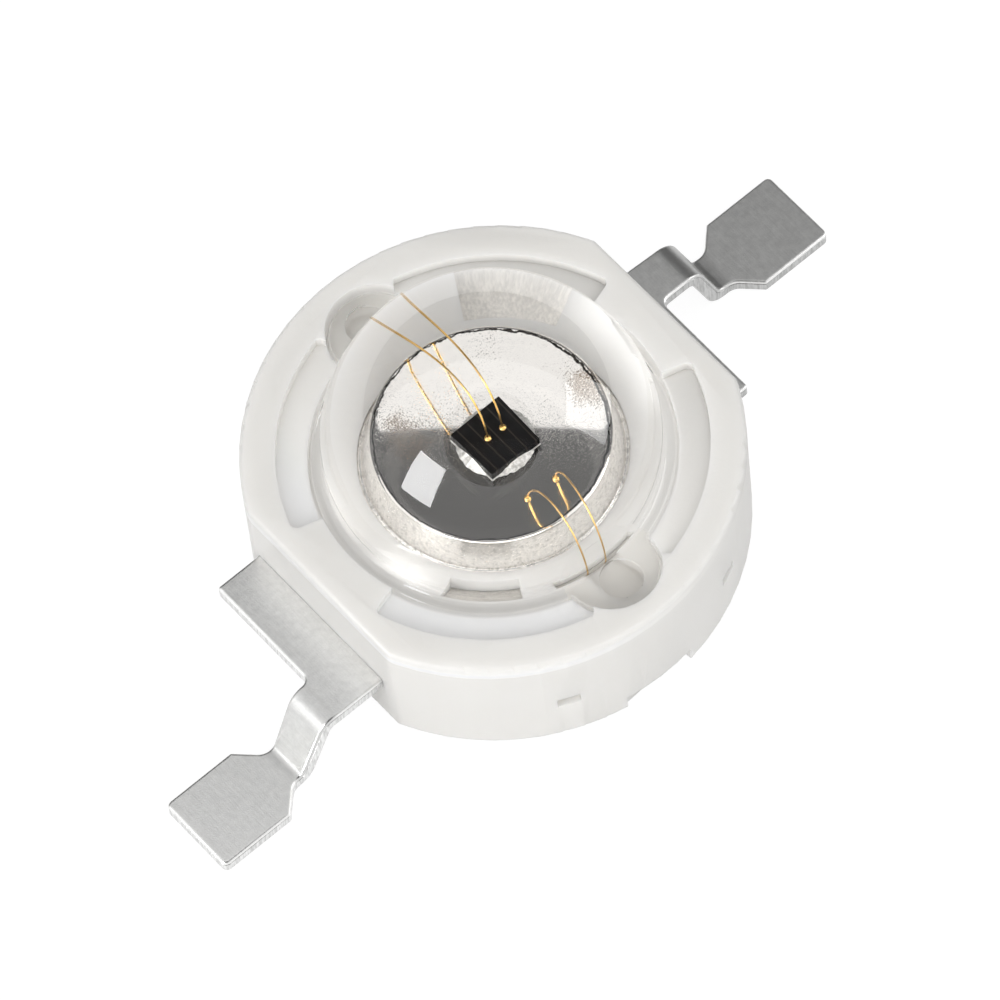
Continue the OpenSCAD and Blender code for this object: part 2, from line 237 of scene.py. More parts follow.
def finish(name, inputs, varied=lambda tree: {}):
    """A material with one Principled surface. varied(tree) returns the inputs that vary over the surface."""
    return shaded(name, lambda tree: tree.node("BsdfPrincipled", {**inputs, **varied(tree)}))


def colour(red, green, blue):
    return (red, green, blue, 1)

# %% [markdown]
# ## White moulding
# A flat white would look like paper. The real plastic is satin, a little uneven, and light goes a short way
# into it. So the base colour has slow clouds, the roughness has a grain, and subsurface scattering with one
# radius for the three colours softens the edges without a tint. The recesses carry painted shade on one side
# and painted light on the other, because the lamps fill them more evenly than the real room did.

# %% White moulding
def moulding_pattern(tree):
    """White plastic with faint clouds. The recesses carry painted shade towards +X, the side that the light
    doesn't reach, and painted light towards -X."""
    x, y, z, radius = tree.axes()
    cloud = tree.noise(0.7, 2)
    grain = tree.noise(9)
    recess = z.band(body_top - 0.26, body_top - 0.22, body_top - 0.16, body_top - 0.04)
    painted_shade_mask = radius.smooth(pocket_r, pocket_r + 0.05) * recess
    # Painted shade on the recess floors towards +X, and painted light towards -X.
    shade = 1.0 - painted_shade_mask * (x * 0.058 + y * 0.022 - 0.01)
    white = tree.mix(cloud, colour(0.83, 0.815, 0.785), colour(0.87, 0.858, 0.832))
    return {"Base Color": tree.node("VectorMath", {0: white, "Scale": shade}, operation="SCALE"),
            "Roughness": 0.36 + grain * 0.1,
            "Normal": tree.bump(grain, 0.003)}


moulding = finish("moulding", {
    "Subsurface Weight": 1.0, "Subsurface Radius": (1.0, 1.0, 1.0), "Subsurface Scale": 0.2 * MM,
    "IOR": 1.5}, moulding_pattern)

# %% [markdown]
# ## Plated metals
# Bright silver plate is nearly a mirror, so most of what one sees is the room. The finish needs the small
# faults: fine pits, brown blooms and a coarse grain down the side. A jagged dark line just inside the rim is
# painted shade. Noise with a threshold makes pits with flat plate between them, which keeps the mirrored edge
# of the dark card sharp.
# The leads are duller, with rolling lines and mottling, and their stamped edges are grey with upright tear
# lines. Their bends carry painted shade, and the two leads, which are the same plate, get different greys
# for how the light falls on each: painted shade on lead B's strip and torn edges, and on lead A's finger.
# Inside the moulding they are matt and warm, because gel and flash cover them.

# %% Metals
def silver_pattern(tree):
    """Silver plate. The turned top is bright, with fine pits and a brown bloom at two places near the rim, and
    a jagged line of painted shade just inside the rim. The sides keep the grain of the turning and plating."""
    x, y, z, radius = tree.axes()
    grain = tree.noise(60, rough=0.7)
    coarse = tree.noise(3.5)
    side = 1 - z.smooth(slug_top - 0.08, slug_top - 0.03)
    top = 1 - side

    # A jagged line of painted shade just inside the rim, thicker on one side.
    jag = radius + (tree.noise(5, 5, rough=0.85) - 0.5) * 0.10
    thick = (x * 0.7 - y * 0.7).smooth(-1.2, 1.2) * 0.012
    past_start = (jag + thick).smooth(pedestal_r - 0.052, pedestal_r - 0.046)
    past_end = jag.smooth(pedestal_r - 0.036, pedestal_r - 0.030)
    line = past_start * (1 - past_end) * top

    bloom = (grain - 0.5) * 1.5 + (coarse - 0.5) * 0.7
    for bloom_x, bloom_y, full, none in ((1.25, -0.17, 0.12, 0.42), (-0.62, 0.66, 0.05, 0.60)):
        bloom = bloom + (1 - away(x - bloom_x, y - bloom_y).smooth(full, none)) * 0.45
    bloom = bloom.smooth(0.18, 0.55) * top

    speck = tree.noise(17, rough=0.7)
    joint = z.band(seat_z - 0.06, seat_z - 0.03, seat_z + 0.02, seat_z + 0.06)
    pitted = speck.smooth(0.50, 0.62) * (0.55 + joint * 0.45) * side
    stained = tree.mix(bloom, colour(0.94, 0.91, 0.87), colour(0.50, 0.42, 0.35))
    stained = tree.mix(pitted, stained, colour(0.70, 0.67, 0.62))
    # The painted shade line turns the base colour nearly black.
    return {"Base Color": tree.mix(line, stained, colour(0.04, 0.035, 0.03)),
            "Roughness": 0.03 + grain * 0.04 + bloom * 0.12 + side * 0.20,
            "Normal": tree.bump(grain.smooth(0.54, 0.74), 0.00034 + bloom * 0.0007 + side * 0.004)}


silver = finish("silver_plate", {"Metallic": 1.0}, silver_pattern)


def sheared_pattern(shade):
    """The stamped edge of a lead: grey, with upright tear lines. Its level of grey is set for each lead and
    holds painted shade.
    """
    def pattern(tree):
        tear = tree.noise(1, stretch=(30, 30, 4))
        dark = colour(shade * 0.75, shade * 0.75, shade * 0.74)
        bright = colour(shade * 1.1, shade * 1.1, shade * 1.09)
        return {"Base Color": tree.mix(tear.smooth(0.3, 0.7), dark, bright), "Normal": tree.bump(tear, 0.006)}
    return pattern


def tin_pattern(shade, bend_painted_shade, finger_shade, dull):
    """Plated strip: mottled, with fine rolling lines along Y, darker where it was bent, which is painted
    shade, and matt and grainy where it lies inside the moulding as a finger. Its levels of grey are set for
    each lead and hold painted shade."""
    def pattern(tree):
        x, y, z, radius = tree.axes()
        finger = 1 - radius.smooth(2.9, 3.1)
        bent = ((x * x) ** 0.5).band(4.50, 4.72, 5.35, 5.6)
        streak = tree.noise(1, stretch=(38, 3, 38))
        mottle = tree.noise(9, 4, rough=0.7)
        fine = tree.noise(40, 2)
        tone = mottle * 0.7 + streak * 0.3
        # Painted shade on the bends: the base colour drops to a darker level there.
        level = shade + bent * (bend_painted_shade - shade)
        level = level * (0.84 + tone.smooth(0.3, 0.7) * 0.14 + fine * 0.10)
        grey = tree.mix(level, colour(0, 0, 0), colour(1, 1, 0.985))
        warm = np.array([1.0, 0.965, 0.91])
        dark, bright = colour(*(warm * (finger_shade - 0.10))), colour(*(warm * (finger_shade + 0.08)))
        matt = tree.mix((mottle * 0.5 + fine * 0.5).smooth(0.35, 0.65), dark, bright)
        return {"Base Color": tree.mix(finger, grey, matt),
                "Roughness": dull + streak * 0.06 + mottle * 0.10 + finger * 0.15,
                "Normal": tree.bump(streak * 0.5 + mottle * 0.15 + fine * 0.7, 0.0024 + finger * 0.003)}
    return pattern


# The same plate on both leads. Their levels differ as painted shade: lead B's strip and bends are darker, and
# lead A's finger is darker.
tin_a = finish("tinned_a", {"Metallic": 1.0}, tin_pattern(0.90, 0.66, finger_shade=0.64, dull=0.24))
tin_b = finish("tinned_b", {"Metallic": 1.0}, tin_pattern(0.86, 0.58, finger_shade=0.80, dull=0.34))
# Painted shade: lead B's torn edges are much darker than lead A's.
sheared_a = finish("sheared_a", {"Metallic": 1.0, "Roughness": 0.36}, sheared_pattern(0.80))
sheared_b = finish("sheared_b", {"Metallic": 1.0, "Roughness": 0.40}, sheared_pattern(0.52))
gold = finish("gold_wire", {"Base Color": colour(0.90, 0.58, 0.20), "Metallic": 1.0, "Roughness": 0.24})

# %% [markdown]
# ## Chip and die attach
# The chip is black with faint conductor lines, and gel lies on it, so that its mirror is weak: a low index
# does that. It stands on silver-filled epoxy, which is a grey, grainy paste: half metal flakes, half resin.

# %% Chip and die attach
def epoxy_pattern(tree):
    """Grey paste with lighter grains of silver."""
    grain = tree.noise(24, rough=0.7)
    paste, flake = colour(0.46, 0.45, 0.42), colour(0.80, 0.79, 0.76)
    return {"Base Color": tree.mix(grain.smooth(0.35, 0.65), paste, flake), "Normal": tree.bump(grain, 0.006)}


def die_pattern(tree):
    """Black, with fine brown lines across X."""
    line = tree.node("TexWave", {"Vector": tree.place(), "Scale": 2.2}, out="Fac", bands_direction="X")
    brown = line.smooth(0.93, 0.99) * 0.5 + tree.noise(7) * 0.15
    return {"Base Color": tree.mix(brown, colour(0.006, 0.006, 0.007), colour(0.06, 0.05, 0.04))}


epoxy = finish("silver_epoxy", {"Metallic": 0.35, "Roughness": 0.45}, epoxy_pattern)
die = finish("die", {"Roughness": 0.2, "IOR": 1.25}, die_pattern)

# %% [markdown]
# ## Clear materials
# Two clear things that touch, the lens and the softer gel in it, need care: each wall between them has to be
# met once, with the ratio of the two indices. So the lens's inner wall carries that ratio, and the gel, 3
# micrometres inside it, has an index of 1 and does nothing. A path tracer can't find lamps through glass. So
# a transparent shader, for shadow rays and for rays that leave matt surfaces, lets the light in.

# %% Clear materials
def clear_finish(name, index, roughness=0.0, tint=0.97, base=(1, 1, 1)):
    """A clear material. Rays that carry light to or from a matt surface go straight through it."""
    def shader(tree):
        surface = tree.node("BsdfPrincipled", {
            "Base Color": colour(*base), "Roughness": roughness, "IOR": index, "Transmission Weight": 1.0})
        through = tree.node("BsdfTransparent", {"Color": colour(tint, tint, tint)})
        path = tree.light_path()
        light = tree.math("MAXIMUM", path["Is Shadow Ray"], path["Is Diffuse Ray"])
        return tree.node("MixShader", {0: light, 1: surface, 2: through})
    return shaded(name, shader)


resin_index, gel_index = 1.586, 1.41
clear = clear_finish("clear_moulding", resin_index)
bonded = clear_finish("clear_moulding_bonded", resin_index / gel_index, 0.0, 1.0)
ear_skin = clear_finish("clear_moulding_matt", resin_index, 0.40, 0.97, (0.97, 0.95, 0.905))
gel_skin = clear_finish("silicone_gel", gel_index, 0.30, 0.90, (0.86, 0.83, 0.78))
gel_hidden = clear_finish("silicone_gel_bonded", 1.0, 0.0, 1.0)

# %% [markdown]
# ## Mesh helpers
# Every turned or drawn piece is a grid of points from a formula, worked out as whole arrays. A grid keeps its
# quads even, which gives clean highlights.

# %% Meshes from arrays
def grid_faces(rows, cols, wrap_cols=True):
    """Quads between neighbouring rows and columns of a grid of points, and round the seam if wrap_cols."""
    row, col = np.meshgrid(np.arange(rows - 1), np.arange(cols if wrap_cols else cols - 1), indexing="ij")
    near = (row * cols + col).ravel()
    far = (row * cols + (col + 1) % cols).ravel()
    return np.stack([near, far, far + cols, near + cols], axis=1)


def from_points(name, points, faces, materials):
    """A new object with a mesh, from points in millimetres and lists of corners."""
    mesh = bpy.data.meshes.new(name)
    mesh.from_pydata((np.asarray(points) * MM).tolist(), [], faces)
    for material in materials:
        mesh.materials.append(material)
    return add(name, mesh)


def piece(name, points, faces, materials, slot, node, sharp):
    """A riding object at the origin. Edges of more than so many degrees stay sharp."""
    made = from_points(name, points, faces, materials)
    made.data.shade_smooth()
    made.data.set_sharp_from_angle(angle=math.radians(sharp))
    dress(made, node)
    return made


def dress(made, node):
    """Says what a piece rides on, hides the CAD node that it stands for and prints its size."""
    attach(made, "root")
    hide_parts(node)
    print(made.name, len(made.data.vertices), "points,", len(made.data.polygons), "faces")


def lathe(radius, height, cols):
    """Closed surface through rings. radius and height have one row for each ring and one column for each
    direction, or one for all. The end rings are shrunk to a pole. A ring's point is (r cos t, r sin t, z).
    The faces look outwards where the rings rise."""
    turn = np.linspace(0, 2 * np.pi, cols, endpoint=False)
    rings = np.stack(np.broadcast_arrays(radius * np.cos(turn), radius * np.sin(turn), height), axis=2)[1:-1]
    points = np.concatenate([rings.reshape(-1, 3), [[0, 0, height[0, 0]], [0, 0, height[-1, 0]]]])
    first, last = len(points) - 2, len(points) - 1
    step = np.arange(cols)
    end = (len(rings) - 1) * cols
    fans = np.concatenate([np.stack([(step + 1) % cols, step, np.full(cols, first)], axis=1),
                           np.stack([end + step, end + (step + 1) % cols, np.full(cols, last)], axis=1)])
    return points, grid_faces(len(rings), cols).tolist() + fans.tolist()


def join_points(node):
    """A bmesh of a CAD node's triangles, with the points that meet joined into one."""
    made = bmesh.new()
    made.from_mesh(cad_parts[node].data)
    bmesh.ops.remove_doubles(made, verts=made.verts, dist=0.0002 * MM)
    made.normal_update()
    return made


def from_bmesh(name, made):
    """A bmesh as a new object in the scene."""
    mesh = bpy.data.meshes.new(name)
    made.to_mesh(mesh)
    made.free()
    return add(name, mesh)


def numbers(things, name):
    """One attribute of every vertex, normal or face, as an array of three columns."""
    values = np.zeros(len(things) * 3)
    things.foreach_get(name, values)
    return values.reshape(-1, 3)


def settle(made, points):
    """Moves the points of an object's mesh, in millimetres."""
    made.data.vertices.foreach_set("co", (points * MM).ravel())
    made.data.update()


def paint(made, index):
    """Gives each face of an object the material that index holds for it."""
    made.data.polygons.foreach_set("material_index", index.astype(np.int32))

# %% [markdown]
# ## Lens
# The lens is moulded in one: a dome on a short neck, a flange below it, and an ear on each side. Its wall is
# even. Facets show at once in glass, so the whole skin is one lathe of 512 columns. The ears come from the
# same rings, each stretched out to the eared outline as far as its third number says.

# %% Lens profile
def arc(centre, radius, start, end, count, *more):
    """Points of a circle arc in the plane of radius and height, angles in degrees from the horizontal. Each
    point ends with what more holds."""
    angle = np.radians(np.linspace(start, end, count))
    return [(centre[0] + radius * c, centre[1] + radius * s, *more)
            for c, s in zip(np.cos(angle), np.sin(angle))]


lens_cols = 512
edge_r = 0.04
seat_film = 0.004
turn = np.linspace(0, 2 * np.pi, lens_cols, endpoint=False)


def eared(radius, lobe):
    """Distance of the flange's outline from the axis: the larger of the circle and the ear's far side, with
    the corner between them rounded."""
    side = np.abs(np.sin(turn)) * ear_y
    ear = side + np.sqrt(np.maximum(lobe ** 2 - (ear_y * np.cos(turn)) ** 2, 0))
    return (radius + ear + np.sqrt((radius - ear) ** 2 + 0.06 ** 2)) / 2


neck_low = flange_top + cove_r
cove_out = dome_r + cove_r
rim = flange_r - edge_r
base = seat_z + seat_film
rows = arc((0, dome_z), dome_r, 90, 88.6, 5, 0) + arc((0, dome_z), dome_r, 87.2, 0, 60, 0)
rows += [(dome_r, z, 0) for z in np.linspace(dome_z, neck_low, 5)[1:-1]]
rows += arc((cove_out, neck_low), cove_r, 180, 270, 8, 0)
rows += [(cove_out + t * (rim - cove_out), flange_top, t) for t in np.linspace(0, 1, 6)[1:-1]]
rows += arc((rim, flange_top - edge_r), edge_r, 90, 0, 6, 1) + arc((rim, base + edge_r), edge_r, 0, -90, 6, 1)
rows += [(rim + t * (cavity_r - rim), base, 1 - t) for t in np.linspace(0, 1, 8)[1:]]
rows += [(cavity_r, z, 0) for z in np.linspace(base, dome_z, 8)[1:-1]]
rows += arc((0, dome_z), cavity_r, 0, 87, 44, 0) + arc((0, dome_z), cavity_r, 88.5, 90, 5, 0)
profile = np.array(rows)
stretch = eared(flange_r, ear_r) - flange_r
lens_radius = profile[:, :1] + profile[:, 2:] * stretch
lens_points, lens_faces = lathe(lens_radius, profile[:, 1:2], lens_cols)
lens = piece("lens_moulding", lens_points, [f[::-1] for f in lens_faces], [clear, bonded, ear_skin],
             "clear_moulding", "lens", 40)

# %% [markdown]
# ## Fill holes
# Gel is pumped in through one hole, and air leaves by the other. The holes are drilled with a boolean, and
# then the faces are sorted: those that touch gel get the bonded material, and the matt ears get their own.

# %% Fill holes through the ears
for side in (-1, 1):
    bpy.ops.mesh.primitive_cylinder_add(vertices=64, radius=fill_r * MM, depth=1 * MM,
                                        location=(0, side * fill_y * MM, flange_top * MM))
    drill = bpy.context.object
    cut = lens.modifiers.new("drill", "BOOLEAN")
    cut.object = drill
    cut.solver = "EXACT"
    bpy.context.view_layer.objects.active = lens
    bpy.ops.object.modifier_apply(modifier=cut.name)
    bpy.data.objects.remove(drill)

middle = numbers(lens.data.polygons, "center") / MM
facing = numbers(lens.data.polygons, "normal")
x, y = middle[:, 0], np.abs(middle[:, 1])
distance = np.hypot(x, y)
towards_gel = (facing * middle).sum(1) - facing[:, 2] * dome_z < 0
in_hole = np.hypot(x, y - fill_y) < fill_r + 0.002
below = facing[:, 2] < -0.9
in_gel = (towards_gel & (distance < cavity_r + 0.01)) | (in_hole & (distance > 2.6)) | below
on_ear = (np.hypot(x, y - ear_y) < ear_r + 0.08) & (distance > dome_r + 0.02)
paint(lens, np.where(in_gel, 1, np.where(on_ear, 2, 0)))
lens.data.shade_smooth()
lens.data.set_sharp_from_angle(angle=math.radians(40))

# %% [markdown]
# ## Gel
# The gel fills all that is left. It is taken from the CAD mesh, with every point moved 3 micrometres inwards,
# so that no two faces share a place. Only its two open ends, in the holes, are seen.

# %% Gel
gel_gap = 0.003
gel = from_bmesh("encapsulant_gel", join_points("encapsulant"))
settle(gel, numbers(gel.data.vertices, "co") / MM - numbers(gel.data.vertex_normals, "vector") * gel_gap)
gel.data.materials.append(gel_hidden)
gel.data.materials.append(gel_skin)
dress(gel, "encapsulant")
middle = numbers(gel.data.polygons, "center") / MM
paint(gel, (middle[:, 2] > flange_top - 0.06) & (np.abs(middle[:, 1]) > fill_y - fill_r - 0.01))

# %% [markdown]
# ## Slug
# A lathe turned it, and a lathe draws it: a profile of radius and height, with a rounded rim. A seeded sum of
# cosines makes the rim waver by a few thousandths of a millimetre, as polishing does. At the foot of the
# pedestal a thin skin of silver stands out to the plastic, which is why no dark slit shows there.

# %% Slug
slug_cols = 900
slug_rim = 0.032
rim_worn, rim_waver = 0.002, 0.001
flash = 0.034
lock_r = foot_r + lock_out
skin_r = pedestal_r + flash


def ragged(seed, most_waves, count=40):
    """A seeded sum of cosines round the axis, between about -1 and 1, with 5 waves a turn or more."""
    rng = np.random.default_rng(seed)
    waves = rng.integers(5, most_waves, count)[:, None]
    phase = rng.uniform(0, 2 * np.pi, count)[:, None]
    angle = np.linspace(0, 2 * np.pi, slug_cols, endpoint=False)
    return np.cos(waves * angle + phase).sum(0) / math.sqrt(count)


slug_rows = [
    (0, 0), (1.2, 0), (foot_r - 0.05, 0), (foot_r - 0.015, 0.015), (foot_r, 0.05), (foot_r, lock_z - 0.02),
    (foot_r + 0.02, lock_z), (lock_r - 0.02, lock_z), (lock_r, lock_z + 0.02), (lock_r, foot_h - 0.02),
    (lock_r - 0.02, foot_h), (2.0, foot_h), (pedestal_r + 0.05, foot_h), (pedestal_r + 0.015, foot_h + 0.015),
    (pedestal_r, foot_h + 0.05), (pedestal_r, seat_z - 0.30), (skin_r, seat_z - 0.27),
    (skin_r, seat_z - 0.03), (pedestal_r + flash * 0.7, seat_z - 0.008), (pedestal_r + flash * 0.3, seat_z)]
slug_rows += [(pedestal_r, z) for z in np.linspace(seat_z + 0.012, slug_top - slug_rim, 14)[:-1]]
plain_rows = len(slug_rows)
slug_rows += arc((pedestal_r - slug_rim, slug_top - slug_rim), slug_rim, 0, 90, 9)
rim_rows = len(slug_rows)
slug_rows += [(r, slug_top) for r in np.linspace(pedestal_r - slug_rim, 0, 14)[1:]]
slug_radius, slug_height = (np.repeat(part[:, None], slug_cols, 1) for part in np.array(slug_rows).T)
share = np.sin(np.linspace(0, np.pi, rim_rows - plain_rows))[:, None]
for sizes, seed, most_waves in ((slug_radius, 3, 60), (slug_height, 5, 70)):
    sizes[plain_rows:rim_rows] -= (rim_worn + rim_waver * np.abs(ragged(seed, most_waves))) * share
piece("slug_turned", *lathe(slug_radius, slug_height, slug_cols), [silver], "silver_plate", "slug", 40)

# %% [markdown]
# ## Leads
# Each lead is one stamped strip: a finger round the slug inside the body, a step, the tab outside, a neck and
# the solder pad, bent down twice. The flat outline is drawn first, with extra points where a bend will be. It
# is filled flat, given rolled edges as rings of inset outlines, and only then laid along the bent middle
# line. A hairline notch gives the dark line that stamping leaves under the rolled edge, and the torn face
# below it has its own finish.

# %% Leads
lead_t = 0.25
half_t = lead_t / 2
tab_z = 1.11
bend_r = 0.25
finger_in, finger_out, finger_end = 1.53, 2.43, 112
finger_root_x = 1.80
strip_w = 1.10
step_in_x, step_out_x = 2.47, 3.07
pad_w, pad_l, pad_corner = 1.46, 1.34, 0.10
neck_w, neck_y, neck_fillet = 0.70, 1.383, 0.14
neck_root_w = 0.79
corner = 0.055
edge_roll, edge_notch, edge_burr = 0.045, 0.012, 0.02


def s_curve(x0, z0, x1, z1, count=40):
    """Middle line of a level S bend: two arcs of the bend radius joined by a straight. Returns the way along
    it, x, z and the slope, at equal steps."""
    wide, tall, way = x1 - x0, abs(z1 - z0), np.sign(z1 - z0)
    steep = math.atan2(tall - 2 * bend_r, wide) + math.asin(2 * bend_r / math.hypot(wide, tall - 2 * bend_r))
    straight = math.hypot(wide - 2 * bend_r * math.sin(steep), tall - 2 * bend_r * (1 - math.cos(steep)))
    total = 2 * bend_r * steep + straight
    along = np.linspace(0, total, count)
    turned = np.minimum(np.minimum(along, total - along) / bend_r, steep)
    step = along[1:] - along[:-1]
    middle = (turned[1:] + turned[:-1]) / 2
    x = x0 + np.concatenate([[0], np.cumsum(step * np.cos(middle))])
    z = z0 + way * np.concatenate([[0], np.cumsum(step * np.sin(middle))])
    x = x0 + (x - x0) * wide / (x[-1] - x0)
    z = z0 + (z - z0) * (z1 - z0) / (z[-1] - z0)
    return along, x, z, way * turned


def rounded(corners, breaks):
    """Outline through corners (x, y, radius), each turned into an arc, with extra points where a straight
    crosses one of the breaks in x. Points are complex numbers here, so that a turn is a product."""
    spots = [complex(x, y) for x, y, _ in corners]
    out = []
    for spot, before, after, (_, _, radius) in zip(spots, spots[-1:] + spots, spots[1:] + spots, corners):
        before, after = (before - spot) / abs(before - spot), (after - spot) / abs(after - spot)
        half = abs(np.angle(after / before)) / 2
        if radius:
            centre = spot + (before + after) / abs(before + after) * radius / math.sin(half)
            first = spot + before * radius / math.tan(half) - centre
            last = spot + after * radius / math.tan(half) - centre
            out += [centre + first * (last / first) ** t for t in np.linspace(0, 1, 7)]
        else:
            out.append(spot)
    closed = []
    for start, step in zip(out, np.roll(out, -1) - out):
        closed.append(start)
        if abs(step.imag) < 0.2 * abs(step.real):
            share = np.sort((breaks - start.real) / step.real)
            closed += (start + step * share[np.abs(share - 0.5) < 0.5 - 1e-6 / abs(step.real)]).tolist()
    return np.stack([np.real(closed), np.imag(closed)], axis=1)


def inset(outline, depth):
    """The outline moved inwards, each point along the middle of its two sides."""
    side = np.roll(outline, -1, axis=0) - outline
    side /= np.linalg.norm(side, axis=1, keepdims=True)
    normal = np.stack([-side[:, 1], side[:, 0]], axis=1)
    both = normal + np.roll(normal, 1, axis=0)
    return outline + both * (2 * depth / (both ** 2).sum(1))[:, None]


def inside(spots, outline):
    """True for the spots within a closed outline: a line along +X crosses it an odd number of times."""
    x0, y0 = outline.T
    x1, y1 = np.roll(outline, -1, axis=0).T
    x, y = spots[:, :1], spots[:, 1:]
    spans = (y0 > y) != (y1 > y)
    level = np.where(y1 == y0, 1, y1 - y0)
    return (spans & (x < x0 + (y - y0) * (x1 - x0) / level)).sum(1) % 2 == 1


def lead(name, materials, tab_out, tab_far, root_y, bend_in, bend_out, turned):
    """One lead. tab_out is the tab's reach beyond the flat of the body and tab_far its long side. root_y is
    the neck's upper edge at the tab, and the bend runs from bend_in to bend_out."""
    step_s, step_x, step_z, step_a = s_curve(step_in_x, finger_top - half_t, step_out_x, tab_z + half_t)
    bend_s, bend_x, bend_z, bend_a = s_curve(bend_in, tab_z + half_t, bend_out, half_t)
    gain = step_s[-1] - (step_out_x - step_in_x)
    more = bend_s[-1] - (bend_out - bend_in)
    tab_x = flat_x + tab_out
    neck_in = neck_y - neck_w
    slant = (pad_w - neck_w) / 2
    pad_low, pad_high = neck_in - slant, neck_y + slant
    shoulder = tip_x - pad_l + more
    tip = tip_x + more
    root_in = step_out_x - step_s[-1]
    half = strip_w / 2
    end_angle = math.asin(half / finger_out)
    low_end = -math.degrees(end_angle)

    def ring(radius, start, stop, count=50):
        angle = np.radians(np.linspace(start, stop, count))
        return [(radius * math.cos(a) - gain, radius * math.sin(a), 0) for a in angle]

    corners = [(step_out_x, -half, 0), (step_out_x, -tab_far, 0), (tab_x, -tab_far, corner),
               (tab_x, root_y - neck_root_w, neck_fillet), (shoulder - slant, neck_in, 2 * neck_fillet),
               (shoulder, pad_low, corner), (tip, pad_low, pad_corner), (tip, pad_high, pad_corner),
               (shoulder, pad_high, corner), (shoulder - slant, neck_y, 2 * neck_fillet), (tab_x, root_y, 0),
               (step_out_x, root_y, 0), (step_out_x, half, 0)]
    corners += ring(finger_out, -low_end, finger_end) + ring(finger_in, finger_end, low_end)
    root_x = finger_root_x - gain
    corners += [(root_x, finger_root_x * math.tan(-end_angle), 0), (root_x, -half, 0)]
    spare = np.array([-0.03, -0.015])
    breaks = np.unique(np.concatenate([root_in + spare, root_in + step_s[:-1],
                                       bend_in + spare, bend_in + bend_s, bend_in + bend_s[-1] - spare]))
    outline = rounded(corners, breaks)

    turn_in = np.linspace(0, np.pi / 2, 6)
    fill_in = edge_roll + 0.008
    torn_top = lead_t - edge_roll
    rings = [(fill_in, lead_t)]
    rings += [(edge_roll * (1 - math.sin(a)), lead_t - edge_roll * (1 - math.cos(a))) for a in turn_in]
    rings += [(edge_notch, torn_top - 0.006), (edge_notch, torn_top - 0.018), (0, torn_top - 0.024)]
    rings += [(edge_burr * (1 - math.cos(a)), edge_burr * (1 - math.sin(a))) for a in turn_in[::2]]
    rings += [(fill_in, 0)]
    flat_rings = [inset(outline, depth) for depth, _ in rings]
    count = len(outline)
    inner = flat_rings[0]
    order = np.lexsort((inner[:, 1], np.round(inner[:, 0], 7)))
    line = inner[order]
    same = (np.abs(np.diff(line[:, 0])) < 1e-6) & np.isin(np.round(line[1:, 0], 6), np.round(breaks, 6))
    edges = [(i, (i + 1) % count) for i in range(count)]
    edges += [(int(order[i]), int(order[i + 1])) for i in np.flatnonzero(same)]
    spots, _, filled, kept, _, _ = delaunay_2d_cdt([Vector(q) for q in inner], edges, [], 1, 1e-7, True)
    filled = np.array(filled)[inside(np.array(spots)[np.array(filled)].mean(1), inner)]
    top = np.array([ids[0] for ids in kept])[filled].tolist()

    points = np.concatenate([np.column_stack([r, np.full(count, h)]) for r, (_, h) in zip(flat_rings, rings)])
    faces = grid_faces(len(rings), count)[:, ::-1].tolist()
    last = (len(rings) - 1) * count
    faces += top + [[last + i for i in face[::-1]] for face in top]

    s, y, h = points.T
    far_in = -9
    centre_s = np.concatenate([[far_in], root_in + step_s, bend_in + bend_s, [tip + 1]])
    centre_x = np.concatenate([[far_in + gain], step_x, bend_x, [tip_x + 1]])
    centre_z = np.concatenate([[finger_top - half_t], step_z, bend_z, [half_t]])
    centre_a = np.concatenate([[0], step_a, bend_a, [0]])
    x = np.interp(s, centre_s, centre_x) - (h - half_t) * np.sin(np.interp(s, centre_s, centre_a))
    z = np.interp(s, centre_s, centre_z) + (h - half_t) * np.cos(np.interp(s, centre_s, centre_a))
    way = -1 if turned else 1
    made = piece(name + "_sheet", np.column_stack([x * way, y * way, z]), faces, materials,
                 "tinned_" + name[-1], name, 50)
    strip = np.arange(len(faces)) // count
    paint(made, (strip >= len(turn_in)) & (strip < len(turn_in) + 4))


lead("lead_a", [tin_a, sheared_a], tab_out=0.86, tab_far=1.577, root_y=1.43, bend_in=4.60, bend_out=5.43,
     turned=True)
lead("lead_b", [tin_b, sheared_b], tab_out=0.455, tab_far=1.391, root_y=1.48, bend_in=4.62, bend_out=5.36,
     turned=False)

# %% [markdown]
# ## Chip
# The die is a plain sawn box. Its edges are rounded by 6 micrometres, enough for a thin line of light.

# %% Chip
chip_w = 0.70
chip_edge = 0.006
chip_mid = (low("chip") + high("chip")) / 2


def rounded_box(size, radius, count):
    """Closed box: a cube's surface grid, pulled in to a smaller box and pushed out again by the radius."""
    line = np.linspace(-1, 1, count)
    u, v = np.meshgrid(line, line, indexing="ij")
    one = np.ones_like(u)
    sides = ((one, u, v), (-one, v, u), (v, one, u), (u, -one, v), (u, v, one), (v, u, -one))
    cube = np.concatenate([np.stack(side, axis=2).reshape(-1, 3) for side in sides]) * size / 2
    core = np.clip(cube, radius - size / 2, size / 2 - radius)
    out = cube - core
    out /= np.maximum(np.linalg.norm(out, axis=1, keepdims=True), 1e-9)
    faces = grid_faces(count, count, False)
    return core + out * radius, np.concatenate([faces + i * count ** 2 for i in range(6)])


chip_points, chip_faces = rounded_box(high("chip") - low("chip"), chip_edge, 40)
piece("chip_die", chip_points + chip_mid, chip_faces.tolist(), [die], "die", "chip", 40)

# %% [markdown]
# ## Die attach
# The epoxy was pressed out when the chip was set down. Its outline is a wavy circle that never comes closer
# than the chip's square, and where it is widest it climbs the chip's side.

